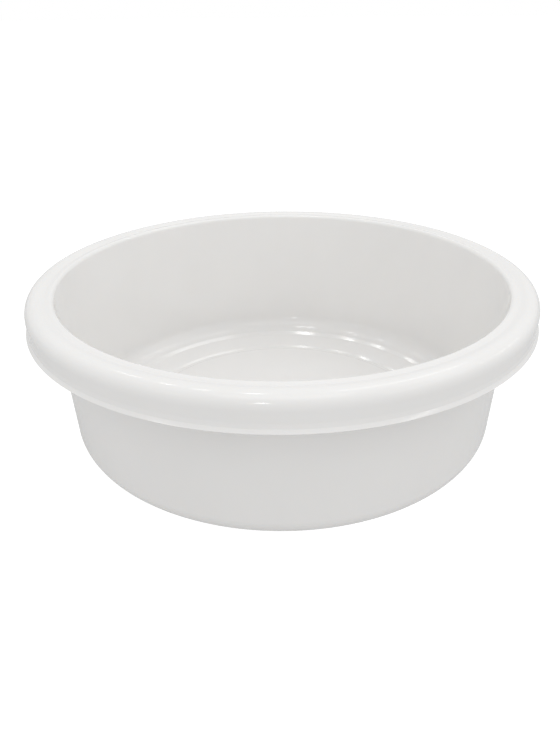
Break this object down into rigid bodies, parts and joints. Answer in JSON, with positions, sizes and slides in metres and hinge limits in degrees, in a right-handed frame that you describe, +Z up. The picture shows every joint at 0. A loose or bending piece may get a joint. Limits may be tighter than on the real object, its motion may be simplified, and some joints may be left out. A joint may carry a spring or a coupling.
{
  "type": "washing up bowl",
  "caption": "Round white plastic washing up bowl with near-upright wall, rounded corner, stepped floor on a foot ring, and a wide turned-down rim.",
  "frame": {"origin": "centre of the foot ring's underside, on the surface that the bowl stands on", "axes": "+Z up along the bowl's axis; +X to the right and +Y away from the viewer of the picture; the bowl is round, so X and Y fix no feature of it"},
  "size_m": [0.3603, 0.3604, 0.1219],
  "materials": {
    "white_polypropylene": "soft gloss"
  },
  "bodies": {
    "root": {"bowl": "white_polypropylene"}
  },
  "joints": []
}
